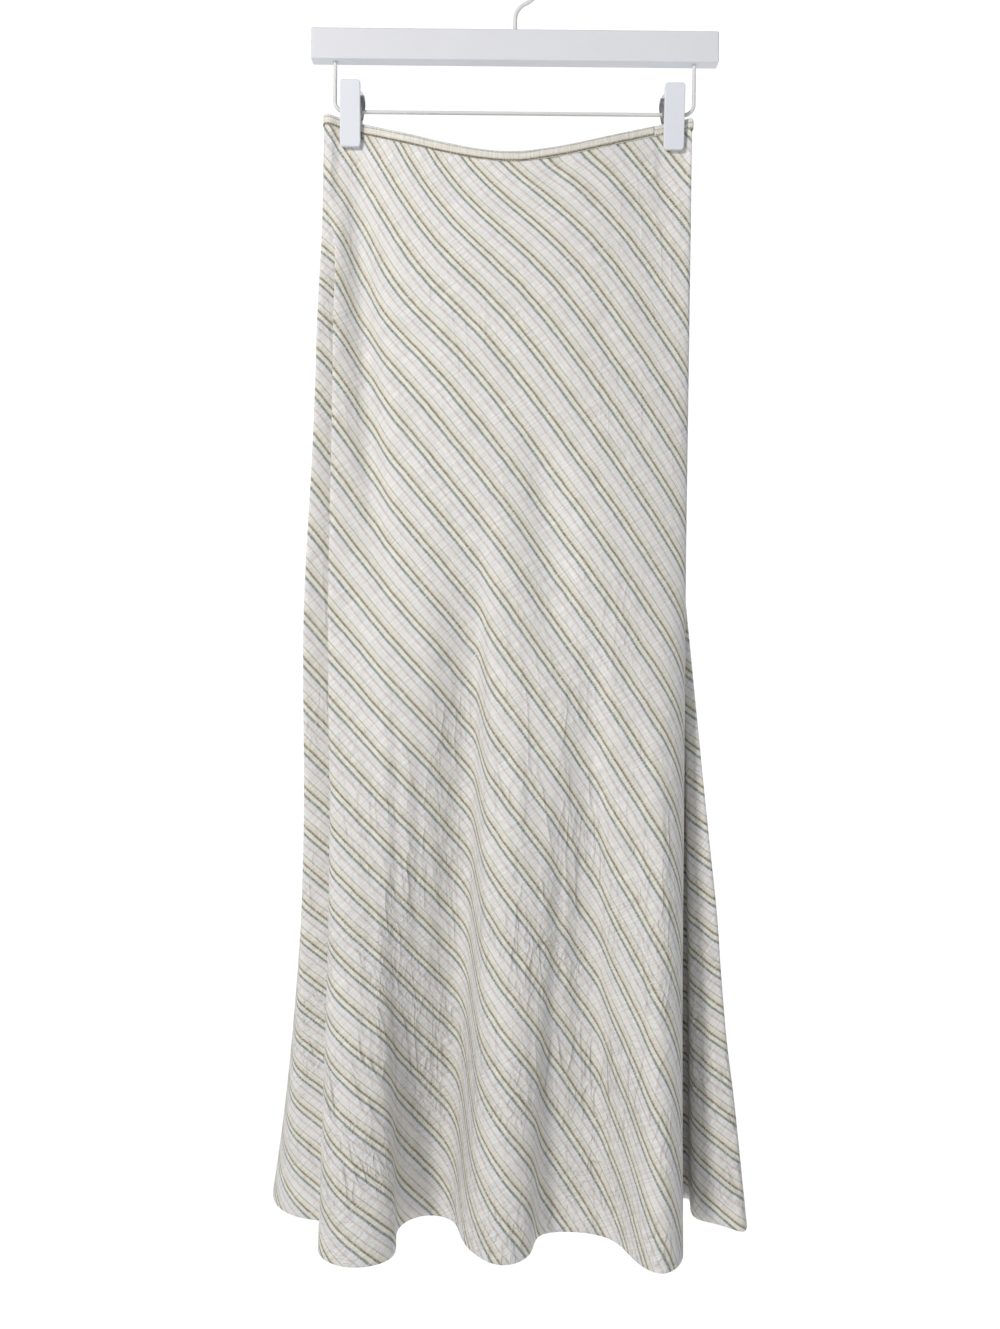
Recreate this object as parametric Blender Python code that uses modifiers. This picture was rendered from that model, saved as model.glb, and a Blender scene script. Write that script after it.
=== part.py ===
"""A bias-cut maxi skirt, clipped by its waist to a flat-bar hanger.

Metres, +Z up. +X is the hanger's right as seen from the front, +Y is the back.
The origin is the inner crown of the hook, where the rail that carries it would lie.
The skirt is two panels, front and back, that are loops of cloth hung from a bound waist.
"""

import math

import bmesh
import bpy
import numpy as np

MM = 0.001
GAP = 0.3 * MM  # clearance between pieces that touch

# The hanger
BAR_LENGTH = 350 * MM
BAR_THICKNESS = 12 * MM
BAR_HEIGHT = 27 * MM
BAR_TOP = -63 * MM
BAR_EDGE = 1.2 * MM
WIRE_SOCKET = 14 * MM  # how far each wire end goes into the bar
HOOK_WIRE = 3.4 * MM
HOOK_STEM = 11 * MM
HOOK_NECK_RADIUS = 15 * MM
HOOK_RADIUS = 21 * MM  # to the wire's centre
HOOK_TIP_ANGLE = math.radians(190)
DROP_WIRE = 3.2 * MM
DROP_X = 154.6 * MM
DROP_BEND = 9 * MM
CROSSBAR_Z = -133 * MM

# The two clips
CLIP_X = {"left": -140.4 * MM, "right": 136.8 * MM}
CLIP_WIDTH = 17.5 * MM
CLIP_THICKNESS = 4 * MM
CLIP_HEIGHT = 55 * MM
CLIP_CORNER = 3 * MM
CLIP_EDGE = 0.5 * MM
CLIP_BOTTOM = -165 * MM
CLIP_GRIP = 2.9 * MM  # half the space between the plates' lower edges
CLIP_SPLAY = math.radians(6)
SPRING_STEEL = 0.8 * MM
SPRING_WIDTH = 18 * MM
SPRING_FOOT_WIDTH = 14.5 * MM
SPRING_SHIFT = 2.2 * MM  # the spring stands out on the clip's inner side
SPRING_FOOT_Z = -138 * MM
SPRING_SHOULDER_Z = -125.5 * MM
SPRING_TOP_Z = -119.6 * MM
SPRING_CLEARANCE = 0.4 * MM  # between the leaf and the plates it pushes on

# The skirt
CLOTH = 1.2 * MM
BINDING_THICKNESS = 2.2 * MM
BINDING_HEIGHT = 8.7 * MM
WAIST_TOP = -137 * MM  # the binding's upper edge at the sides
WAIST_DIP = {"front": 38.5 * MM, "back": 36 * MM}
WAIST_DIP_WIDTH = 1.7  # powers that shape the dip between the clips
WAIST_DIP_SOFTNESS = 1.5
WAIST_HALF = 158.3 * MM  # half the flat waist's width
WAIST_MIDDLE = -5 * MM
HEM_Z = -1094 * MM
PLAIN_DEPTH = {"front": -46 * MM, "back": 62 * MM}  # how far the cloth stands off without folds
PINCH_Y = 1.5 * MM  # the middle of each cloth wall between the clip's plates
PINCH_HALF_WIDTH = 9.2 * MM
PINCH_FADE = 8 * MM
PINCH_BOTTOM = -169 * MM
PINCH_LENGTH = 55 * MM
CLIP_ROWS = (0.0, 0.021, 0.055)  # shares of the length: rows close together at the clips
LOWER_ROWS = 13
COLUMNS_PER_FOLD_LINE = 3

# Fold lines from the waist to the hem, in mm. drift is how far the cloth leans sideways on
# its way down before it folds. start is the share of the length where the fold begins, and
# power how slowly it opens. rise is how far the hem is lifted there.
FOLD_COLUMNS = (
    "name",
    "waist_x",
    "waist_y",
    "drift",
    "hem_x",
    "hem_y",
    "rise",
    "start",
    "power",
)
FRONT_FOLDS = (
    ("left seam", -163.4, 1.2, -9, -212, 74, 2, 0.00, 4.4),
    ("left strip outer", -163.2, -1.4, -9, -205, 44, 0, 0.00, 4.4),
    ("left strip inner", -161.6, -3.6, -9, -179, 17, 0, 0.00, 3.0),
    ("left valley", -158.4, -4.4, -2, -149, 3, 0, 0.00, 2.0),
    ("first fold, left", -152.5, -3.0, 9, -154, -36, 0, 0.00, 3.5),
    ("first fold, crest", -138.0, -1.5, 4, -128, -62, -2, 0.45, 1.3),
    ("first fold, right", -115.0, -5.5, 0, -92, -46, -2, 0.50, 1.3),
    ("first valley, left", -92.0, -12.5, 0, -91, -6, 0, 0.50, 1.3),
    ("first valley", -66.0, -17.5, 0, -69, 22, 0, 0.45, 1.3),
    ("first valley, right", -41.0, -20.5, 0, -43, 10, 0, 0.40, 1.3),
    ("second fold, left", -19.0, -22.0, 0, -32, -28, 0, 0.40, 1.3),
    ("second fold, crest", 4.0, -22.0, 0, -5, -56, -2, 0.40, 1.3),
    ("second fold, right", 25.0, -21.0, 0, 21, -42, -1, 0.50, 1.3),
    ("second valley, left", 45.0, -19.0, 0, 31, -12, 0, 0.50, 1.3),
    ("second valley", 64.0, -16.0, 0, 63, -7, 1, 0.45, 1.3),
    ("second valley, right", 84.0, -12.0, 0, 93, -20, 0, 0.45, 1.3),
    ("third fold, left", 105.0, -6.5, 0, 109, -50, -2, 0.45, 1.3),
    ("third fold, crest", 124.0, -2.2, -1, 128, -71, 0, 0.40, 1.3),
    ("third fold, right", 139.5, -1.5, -3, 147, -45, -2, 0.38, 1.1),
    ("recess, front wall", 150.8, -3.0, -4, 151, -10, 0, 0.38, 0.9),
)
BACK_FOLDS = (
    ("right seam", 153.2, -0.9, -5, 154, 20, 3, 0.42, 0.8),
    ("recess, front floor", 153.0, 1.0, -5, 157, 46, 4, 0.44, 0.8),
    ("recess, back floor", 152.1, 2.5, -5, 168, 48, 4, 0.44, 0.8),
    ("right lobe, left edge", 150.2, 3.3, -5, 167, 20, 3, 0.34, 0.9),
    ("right lobe, face", 147.4, 2.6, -5, 187, 2, 4, 0.34, 0.9),
    ("right lobe, crest", 144.0, 1.8, -4, 207, -4, 2, 0.34, 0.9),
    ("right lobe, side", 137.0, 1.5, -4, 213, 28, 2, 0.34, 1.0),
    ("right side", 127.0, 2.0, -4, 207, 64, 2, 0.35, 1.1),
    ("first back fold", 113.0, 5.5, -3, 179, 90, 0, 0.35, 1.2),
    ("first back valley, right", 97.0, 9.5, 0, 152, 76, 1, 0.45, 1.3),
    ("first back valley", 81.0, 13.0, 0, 130, 52, 2, 0.50, 1.3),
    ("second back fold, right", 64.0, 16.5, 0, 107, 76, 1, 0.45, 1.3),
    ("second back fold", 47.0, 19.0, 0, 82, 102, -1, 0.40, 1.3),
    ("second back fold, left", 30.0, 21.0, 0, 55, 86, 0, 0.45, 1.3),
    ("second back valley", 12.0, 22.0, 0, 33, 58, 2, 0.50, 1.3),
    ("third back fold, right", -6.0, 22.0, 0, 9, 76, 1, 0.45, 1.3),
    ("third back fold", -24.0, 21.5, 0, -19, 97, -1, 0.45, 1.3),
    ("third back fold, left", -41.0, 20.0, 0, -47, 80, 0, 0.45, 1.3),
    ("third back valley", -58.0, 18.0, 0, -69, 52, 2, 0.50, 1.3),
    ("fourth back fold, right", -76.0, 15.0, 0, -93, 74, 1, 0.45, 1.3),
    ("fourth back fold", -95.0, 10.5, 0, -119, 101, -1, 0.35, 1.3),
    ("fourth back fold, left", -115.0, 4.5, 0, -147, 92, 0, 0.40, 1.3),
    ("fourth back valley", -133.0, 1.6, -6, -168, 76, 2, 0.45, 1.3),
    ("left side, back", -147.0, 2.2, -9, -188, 88, 1, 0.10, 2.2),
    ("left side, outer", -156.0, 4.2, -11, -204, 94, 2, 0.00, 3.0),
    ("left side, edge", -161.4, 3.9, -9, -211, 88, 2, 0.00, 4.4),
)

# The pleat tucked behind the first fold: how far each line is drawn to the right and to the
# back, in mm. It opens between two shares of the length and lies flat again at the hem.
TUCKS = {"left valley": (22, 9), "first fold, left": (-1, -3)}
TUCK_START = 0.06
TUCK_FULL = 0.2

# Soft troughs pressed into the front, in mm: where each one starts and ends, how wide it is to
# the left and to the right of its deepest line, and its depth. The last two columns are the
# shares of its length over which it fades in and fades out.
CREASE_COLUMNS = ("top_x", "top_z", "bottom_x", "bottom_z", "left", "right", "depth")
FRONT_CREASES = (
    (-136, -165, -108, -600, 13, 13, 13, 0.25, 0.4),
    (26, -400, 38, -640, 20, 20, 8, 0.25, 0.4),
    (-25, -430, -38, -1085, 27, 9, 23, 0.4, 0.25),
    (68, -530, 82, -1085, 24, 10, 12, 0.45, 0.25),
)
CREASES_BEGIN = 4  # the fold line where the front's creased part begins

# Where the left edge swells outwards, in mm.
SWELL_Z = -570 * MM
SWELL_HALF_HEIGHT = 130 * MM
SWELL_REACH = 22 * MM
SWELL = 6 * MM


# ---- The cloth's surface ----


def ease(value):
    """0 below 0, 1 above 1, and a smooth rise between."""
    t = np.clip(value, 0.0, 1.0)
    return t * t * (3.0 - 2.0 * t)


def fold_lines():
    """The table's rows as dictionaries in metres, each with the side of the skirt it is on."""
    lines = []
    for side, table in (("front", FRONT_FOLDS), ("back", BACK_FOLDS)):
        for row in table:
            line = dict(zip(FOLD_COLUMNS, row))
            for size in ("waist_x", "waist_y", "drift", "hem_x", "hem_y", "rise"):
                line[size] *= MM
            lines.append({**line, "side": side})
    return lines


def fold_point(line, share):
    """Where a fold line is at this share of the way from the waist to the hem."""
    across = (line["waist_x"] - WAIST_MIDDLE) / WAIST_HALF
    plain_x = line["waist_x"] + line["drift"]
    round_off = math.sqrt(max(0.0, 1.0 - abs(across) ** 4))
    plain_y = PLAIN_DEPTH[line["side"]] * round_off
    open_out = 1.0 - (1.0 - share) ** 2
    begun = max(0.0, share - line["start"]) / (1.0 - line["start"])
    fold = begun ** line["power"]
    x = line["waist_x"] + (plain_x - line["waist_x"]) * share + (line["hem_x"] - plain_x) * fold
    y = line["waist_y"] + (plain_y - line["waist_y"]) * open_out + (line["hem_y"] - plain_y) * fold
    tuck_x, tuck_y = TUCKS.get(line["name"], (0, 0))
    tucked = ease((share - TUCK_START) / (TUCK_FULL - TUCK_START)) * (1.0 - fold)
    x += tuck_x * MM * tucked
    y += tuck_y * MM * tucked
    sag = max(0.0, 1.0 - abs(across) ** WAIST_DIP_WIDTH) ** WAIST_DIP_SOFTNESS
    dip = WAIST_DIP[line["side"]] * sag
    top = WAIST_TOP - dip - BINDING_HEIGHT - GAP
    bottom = HEM_Z + line["rise"]
    return x, y, top + (bottom - top) * share


def closed_spline(points, steps):
    """Points along the smooth closed curve through the given ones, steps to each span."""
    count = len(points)
    weights = np.zeros((count, count))
    for i in range(count):
        weights[i, i] = 4.0 / 6.0
        weights[i, i - 1] = 1.0 / 6.0
        weights[i, (i + 1) % count] = 1.0 / 6.0
    control = np.linalg.solve(weights, np.array(points))
    t = (np.arange(steps) / steps)[:, None]
    basis = ((1 - t) ** 3, 3 * t**3 - 6 * t**2 + 4, -3 * t**3 + 3 * t**2 + 3 * t + 1, t**3)
    spans = []
    for i in range(count):
        spans.append(sum(basis[k] / 6.0 * control[(i + k - 1) % count] for k in range(4)))
    return np.vstack(spans)


def pinch(ring):
    """Presses the cloth flat where the two clips hold it."""
    held = ease(1.0 - (PINCH_BOTTOM - ring[:, 2]) / PINCH_LENGTH)
    for clip_x in CLIP_X.values():
        away = np.abs(ring[:, 0] - clip_x) - PINCH_HALF_WIDTH
        weight = held * ease(1.0 - away / PINCH_FADE)
        ring[:, 1] += weight * (np.clip(ring[:, 1], -PINCH_Y, PINCH_Y) - ring[:, 1])
    return ring


def crease(ring, steps):
    """Presses the soft troughs into the front, from its first fold on."""
    lines = np.arange(len(ring)) / steps
    front = ease(lines - CREASES_BEGIN) * (lines < len(FRONT_FOLDS))
    for *sizes, fade_in, fade_out in FRONT_CREASES:
        trough = dict(zip(CREASE_COLUMNS, np.array(sizes) * MM))
        along = (ring[:, 2] - trough["top_z"]) / (trough["bottom_z"] - trough["top_z"])
        across = ring[:, 0] - trough["top_x"] - along * (trough["bottom_x"] - trough["top_x"])
        across /= np.where(across < 0.0, trough["left"], trough["right"])
        fade = ease(along / fade_in) * ease((1.0 - along) / fade_out)
        ring[:, 1] += trough["depth"] * fade * np.exp(-(across**2)) * front
    return ring


def swell(ring):
    """Lets the left edge stand out where the hips of the cut are widest."""
    level = np.exp(-(((ring[:, 2] - SWELL_Z) / SWELL_HALF_HEIGHT) ** 2))
    from_edge = (ring[:, 0] - ring[:, 0].min()) / SWELL_REACH
    ring[:, 0] -= SWELL * level * np.exp(-(from_edge**2))
    return ring


def skirt_ring(share, steps=COLUMNS_PER_FOLD_LINE):
    """The closed line that the cloth follows at this share of its length."""
    keys = [fold_point(line, share) for line in fold_lines()]
    return swell(crease(pinch(closed_spline(keys, steps)), steps))


def seam_setback(ring, seam):
    """How far each panel stays back from a seam, so that the walls' inner edges clear too."""
    before = ring[seam] - ring[seam - 1]
    after = ring[seam + 1] - ring[seam]
    turn = np.arccos(before @ after / np.linalg.norm(before) / np.linalg.norm(after))
    return (GAP + CLOTH * math.tan(turn / 2)) / 2


def step_in(row, setbacks):
    """Draws a panel's first and last points back from its two seams."""
    for edge, inner, setback in ((0, 1, setbacks[0]), (-1, -2, setbacks[1])):
        inward = row[inner] - row[edge]
        row[edge] = row[edge] + inward * (setback / np.linalg.norm(inward))
    return row


# ---- Making objects ----


def clear_scene():
    for item in list(bpy.data.objects):
        bpy.data.objects.remove(item)


def make_collection(name):
    collection = bpy.data.collections.new(name)
    bpy.context.scene.collection.children.link(collection)
    return collection


def make_material(name, colour, roughness, metallic=0.0):
    material = bpy.data.materials.new(name)
    material.use_nodes = True
    shader = material.node_tree.nodes["Principled BSDF"]
    shader.inputs["Base Color"].default_value = (*colour, 1.0)
    shader.inputs["Roughness"].default_value = roughness
    shader.inputs["Metallic"].default_value = metallic
    return material


def add_object(name, data, material, collection):
    item = bpy.data.objects.new(name, data)
    item.data.materials.append(material)
    collection.objects.link(item)
    return item


def cloth_wall(name, rows, closed, thickness, material, collection):
    """A wall of cloth whose middle surface runs through the rows of points."""
    columns = len(rows[0])
    faces = []
    for r in range(len(rows) - 1):
        for c in range(columns if closed else columns - 1):
            after = (c + 1) % columns
            upper, lower = r * columns, (r + 1) * columns
            faces.append((upper + c, lower + c, lower + after, upper + after))
    mesh = bpy.data.meshes.new(name)
    mesh.from_pydata(np.vstack(rows).tolist(), [], faces)
    mesh.shade_smooth()
    item = add_object(name, mesh, material, collection)
    wall = item.modifiers.new("wall", "SOLIDIFY")
    wall.thickness = thickness
    wall.offset = 0.0
    return item


def wire(name, route, diameter, material, collection):
    """A round wire through the points of its route."""
    curve = bpy.data.curves.new(name, "CURVE")
    curve.dimensions = "3D"
    curve.bevel_depth = diameter / 2
    curve.bevel_resolution = 2
    curve.use_fill_caps = True
    spline = curve.splines.new("POLY")
    spline.points.add(len(route) - 1)
    for point, place in zip(spline.points, route):
        point.co = (*place, 1.0)
    return add_object(name, curve, material, collection)


def arc(centre, radius, start, end, steps):
    """Points on an arc in the XZ plane, from one angle to another."""
    angles = np.linspace(start, end, steps + 1)
    return [
        (centre[0] + radius * math.cos(a), 0.0, centre[1] + radius * math.sin(a)) for a in angles
    ]


def add_bevel(item, width, segments):
    bevel = item.modifiers.new("eased edges", "BEVEL")
    bevel.width = width
    bevel.segments = segments
    bevel.limit_method = "ANGLE"
    return bevel


# ---- The pieces ----


def build_panels(material, collection):
    """Front and back, each one wall of cloth from the waist seam to the hem."""
    split = len(FRONT_FOLDS) * COLUMNS_PER_FOLD_LINE
    shares = [*CLIP_ROWS, *np.linspace(0.11, 1.0, LOWER_ROWS)]
    rings = [skirt_ring(share) for share in shares]
    front, back = [], []
    for ring in rings:
        left, right = seam_setback(ring, 0), seam_setback(ring, split)
        front.append(step_in(ring[: split + 1].copy(), (left, right)))
        back.append(step_in(np.vstack((ring[split:], ring[:1])), (right, left)))
    cloth_wall("front_panel", front, False, CLOTH, material, collection)
    cloth_wall("back_panel", back, False, CLOTH, material, collection)


def build_binding(material, collection):
    """The narrow strip of the same cloth that binds the waist all round."""
    lower = skirt_ring(0.0)
    lower[:, 2] += GAP
    upper = lower.copy()
    upper[:, 2] += BINDING_HEIGHT
    cloth_wall("waist_binding", [upper, lower], True, BINDING_THICKNESS, material, collection)


def build_bar(material, collection, cutters):
    """The flat wooden bar, drilled for the hook and for the two drop wires."""
    bpy.ops.mesh.primitive_cube_add(size=1.0, location=(0, 0, BAR_TOP - BAR_HEIGHT / 2))
    bar = bpy.context.object
    bar.name = "hanger_bar"
    bar.data.name = "hanger_bar"
    bar.scale = (BAR_LENGTH, BAR_THICKNESS, BAR_HEIGHT)
    bpy.ops.object.transform_apply(location=False, rotation=False, scale=True)
    bar.data.materials.append(material)
    bpy.context.collection.objects.unlink(bar)
    collection.objects.link(bar)
    add_bevel(bar, BAR_EDGE, 2)
    bottom = BAR_TOP - BAR_HEIGHT
    sockets = (
        ("hook_socket", 0.0, BAR_TOP, HOOK_WIRE),
        ("left_socket", -DROP_X, bottom, DROP_WIRE),
        ("right_socket", DROP_X, bottom, DROP_WIRE),
    )
    for name, x, z, diameter in sockets:
        radius = diameter / 2 + GAP
        bpy.ops.mesh.primitive_cylinder_add(
            vertices=16, radius=radius, depth=2 * (WIRE_SOCKET + GAP), location=(x, 0, z)
        )
        cutter = bpy.context.object
        cutter.name = name
        cutter.hide_render = True
        cutter.display_type = "WIRE"
        bpy.context.collection.objects.unlink(cutter)
        cutters.objects.link(cutter)
        hole = bar.modifiers.new(name, "BOOLEAN")
        hole.operation = "DIFFERENCE"
        hole.object = cutter


def build_hook(material, collection):
    """A round wire: stem, a short neck that leans right, and the hook over the rail."""
    neck = (HOOK_NECK_RADIUS, BAR_TOP + HOOK_STEM)
    crown_centre = (0.0, -HOOK_RADIUS + HOOK_WIRE / 2)
    lean = math.atan2(crown_centre[1] - neck[1], neck[0] - crown_centre[0])
    route = [(0.0, 0.0, BAR_TOP - WIRE_SOCKET)]
    route += arc(neck, HOOK_NECK_RADIUS, math.pi, math.pi - lean, 6)
    route += arc(crown_centre, HOOK_RADIUS, -lean, HOOK_TIP_ANGLE, 30)[1:]
    wire("hanger_hook", route, HOOK_WIRE, material, collection)


def build_drop_wire(material, collection):
    """One wire from the bar's left end, along under it, and up into its right end."""
    top = BAR_TOP - BAR_HEIGHT + WIRE_SOCKET
    level = CROSSBAR_Z + DROP_BEND
    inner = DROP_X - DROP_BEND
    route = [(-DROP_X, 0.0, top)]
    route += arc((-inner, level), DROP_BEND, math.pi, 1.5 * math.pi, 8)
    route += arc((inner, level), DROP_BEND, 1.5 * math.pi, 2.0 * math.pi, 8)
    route.append((DROP_X, 0.0, top))
    wire("hanger_drop_wire", route, DROP_WIRE, material, collection)


def build_clip_plate(name, x, side, material, collection):
    """One rounded plate of a clip, gripping at its lower end and splayed at its top."""
    shape = bmesh.new()
    bmesh.ops.create_cube(shape, size=1.0)
    bmesh.ops.scale(shape, vec=(CLIP_WIDTH, CLIP_THICKNESS, CLIP_HEIGHT), verts=shape.verts)
    corners = [e for e in shape.edges if abs(e.verts[0].co.y - e.verts[1].co.y) > CLIP_THICKNESS / 2]
    bmesh.ops.bevel(
        shape, geom=corners, offset=CLIP_CORNER, segments=4, profile=0.5, affect="EDGES"
    )
    lift = (0.0, side * CLIP_THICKNESS / 2, CLIP_HEIGHT / 2)
    bmesh.ops.translate(shape, vec=lift, verts=shape.verts)
    mesh = bpy.data.meshes.new(name)
    shape.to_mesh(mesh)
    shape.free()
    plate = add_object(name, mesh, material, collection)
    plate.location = (x, side * CLIP_GRIP, CLIP_BOTTOM)
    plate.rotation_euler = (-side * CLIP_SPLAY, 0.0, 0.0)
    add_bevel(plate, CLIP_EDGE, 1)


def build_clip_spring(name, x, material, collection):
    """The steel leaf bent over the wire, which pushes the plates' tops apart."""
    reach = math.tan(CLIP_SPLAY)
    stand_off = CLIP_GRIP - SPRING_CLEARANCE - SPRING_STEEL / 2
    foot_y = stand_off + (SPRING_FOOT_Z - CLIP_BOTTOM) * reach
    shoulder_y = stand_off + (SPRING_SHOULDER_Z - CLIP_BOTTOM) * reach
    profile = [(foot_y, SPRING_FOOT_Z, SPRING_FOOT_WIDTH)]
    for angle in np.linspace(0.0, math.pi, 9):
        y = shoulder_y * math.cos(angle)
        z = SPRING_SHOULDER_Z + (SPRING_TOP_Z - SPRING_SHOULDER_Z) * math.sin(angle)
        profile.append((y, z, SPRING_WIDTH))
    profile.append((-foot_y, SPRING_FOOT_Z, SPRING_FOOT_WIDTH))
    rows = [[(x + s * width / 2, y, z) for s in (-1, 1)] for y, z, width in profile]
    cloth_wall(name, [np.array(row) for row in rows], False, SPRING_STEEL, material, collection)


def build():
    clear_scene()
    skirt = make_collection("maxi_skirt_on_clip_hanger")
    cutters = make_collection("cutters")
    cloth = make_material("striped_cotton", (0.72, 0.70, 0.65), 0.85)
    binding = make_material("striped_binding", (0.70, 0.66, 0.58), 0.85)
    paint = make_material("white_painted_wood", (0.86, 0.87, 0.90), 0.4)
    plate = make_material("white_clip", (0.86, 0.87, 0.92), 0.35)
    coat = make_material("white_coated_wire", (0.84, 0.84, 0.83), 0.35)
    steel = make_material("spring_steel", (0.45, 0.43, 0.42), 0.35, 1.0)
    build_panels(cloth, skirt)
    build_binding(binding, skirt)
    build_bar(paint, skirt, cutters)
    build_hook(coat, skirt)
    build_drop_wire(coat, skirt)
    for hand, x in CLIP_X.items():
        build_clip_plate(f"clip_{hand}_front", x, -1, plate, skirt)
        build_clip_plate(f"clip_{hand}_back", x, 1, plate, skirt)
        inward = SPRING_SHIFT if x < 0 else -SPRING_SHIFT
        build_clip_spring(f"clip_{hand}_spring", x + inward, steel, skirt)


build()
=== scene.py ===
"""A bias-cut striped maxi skirt, clipped by its waist to a white flat-bar hanger."""

import math

import bmesh
import bpy
import numpy as np
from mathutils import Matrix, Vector


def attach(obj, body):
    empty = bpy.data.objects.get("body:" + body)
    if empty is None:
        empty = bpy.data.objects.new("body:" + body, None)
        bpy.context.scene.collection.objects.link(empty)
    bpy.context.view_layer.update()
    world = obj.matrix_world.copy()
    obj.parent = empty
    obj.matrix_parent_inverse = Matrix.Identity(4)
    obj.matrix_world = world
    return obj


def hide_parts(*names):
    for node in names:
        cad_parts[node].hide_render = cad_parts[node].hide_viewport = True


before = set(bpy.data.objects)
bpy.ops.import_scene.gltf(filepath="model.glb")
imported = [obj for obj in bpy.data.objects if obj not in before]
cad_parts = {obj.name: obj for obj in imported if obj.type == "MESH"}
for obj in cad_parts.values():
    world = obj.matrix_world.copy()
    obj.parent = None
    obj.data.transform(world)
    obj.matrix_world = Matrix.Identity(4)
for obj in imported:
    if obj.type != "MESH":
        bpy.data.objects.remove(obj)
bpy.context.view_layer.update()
MM = 0.001

# ---- Camera ----
# Level with the middle of the skirt, a metre in front of it and a little left of the hook.
# It leans by half a degree, so the bar's right end sits slightly lower in the frame.
CAMERA_PLACE = (-7.7 * MM, -1.0, -0.608)
CAMERA_LEAN = math.radians(0.56)
FRAME_HEIGHT, FOCAL_LENGTH = 1329, 1160  # both in the same units
SENSOR, NEAREST = 36.0, 0.05

camera_data = bpy.data.cameras.new("camera")
camera_data.sensor_width = SENSOR
camera_data.lens = SENSOR * FOCAL_LENGTH / FRAME_HEIGHT
camera_data.clip_start = NEAREST
camera = bpy.data.objects.new("camera", camera_data)
camera.location = CAMERA_PLACE
camera.rotation_euler = (math.pi / 2, -CAMERA_LEAN, 0.0)
bpy.context.scene.collection.objects.link(camera)
bpy.context.scene.camera = camera

# ---- Front and back panels: their form ----
# Two bias-cut panels hang as one tube from the bound waist. Each row is a fold line that runs
# down the cloth: where it starts at the waist, how far it leans sideways (drift), where it
# ends at the hem, how far the hem is lifted there, and where and how slowly the fold opens.
WAIST_TOP = -137 * MM
WAIST_DIP = {"front": 38.5 * MM, "back": 36 * MM}
WAIST_DIP_WIDTH, WAIST_DIP_SOFTNESS = 1.7, 1.5
WAIST_HALF = 158.3 * MM
WAIST_MIDDLE = -5 * MM
BINDING_HEIGHT = 8.7 * MM
SEAM_GAP = 0.3 * MM
HEM_Z = -1094 * MM
PLAIN_DEPTH = {"front": -46 * MM, "back": 62 * MM}
CLIP_X = {"left": -140.4 * MM, "right": 136.8 * MM}
PINCH_Y, PINCH_HALF_WIDTH, PINCH_FADE = 1.5 * MM, 9.2 * MM, 8 * MM
PINCH_BOTTOM, PINCH_LENGTH = -169 * MM, 55 * MM

FOLD_COLUMNS = ("waist_x", "waist_y", "drift", "hem_x", "hem_y", "rise", "start", "power")
FRONT_FOLDS = (
    (-163.4, 1.2, -9, -212, 74, 2, 0.00, 4.4),  # left seam
    (-163.2, -1.4, -9, -205, 44, 0, 0.00, 4.4),
    (-161.6, -3.6, -9, -179, 17, 0, 0.00, 3.0),
    (-158.4, -4.4, -2, -149, 3, 0, 0.00, 2.0),  # left valley
    (-152.5, -3.0, 9, -154, -36, 0, 0.00, 3.5),
    (-138.0, -1.5, 4, -128, -62, -2, 0.45, 1.3),  # first fold
    (-115.0, -5.5, 0, -92, -46, -2, 0.50, 1.3),
    (-92.0, -12.5, 0, -91, -6, 0, 0.50, 1.3),
    (-66.0, -17.5, 0, -69, 22, 0, 0.45, 1.3),  # first valley
    (-41.0, -20.5, 0, -43, 10, 0, 0.40, 1.3),
    (-19.0, -22.0, 0, -32, -28, 0, 0.40, 1.3),
    (4.0, -22.0, 0, -5, -56, -2, 0.40, 1.3),  # second fold
    (25.0, -21.0, 0, 21, -42, -1, 0.50, 1.3),
    (45.0, -19.0, 0, 31, -12, 0, 0.50, 1.3),
    (64.0, -16.0, 0, 63, -7, 1, 0.45, 1.3),  # second valley
    (84.0, -12.0, 0, 93, -20, 0, 0.45, 1.3),
    (105.0, -6.5, 0, 109, -50, -2, 0.45, 1.3),
    (124.0, -2.2, -1, 128, -71, 0, 0.40, 1.3),  # third fold
    (139.5, -1.5, -3, 147, -45, -2, 0.38, 1.1),
    (150.8, -3.0, -4, 151, -10, 0, 0.38, 0.9),
)
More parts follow.
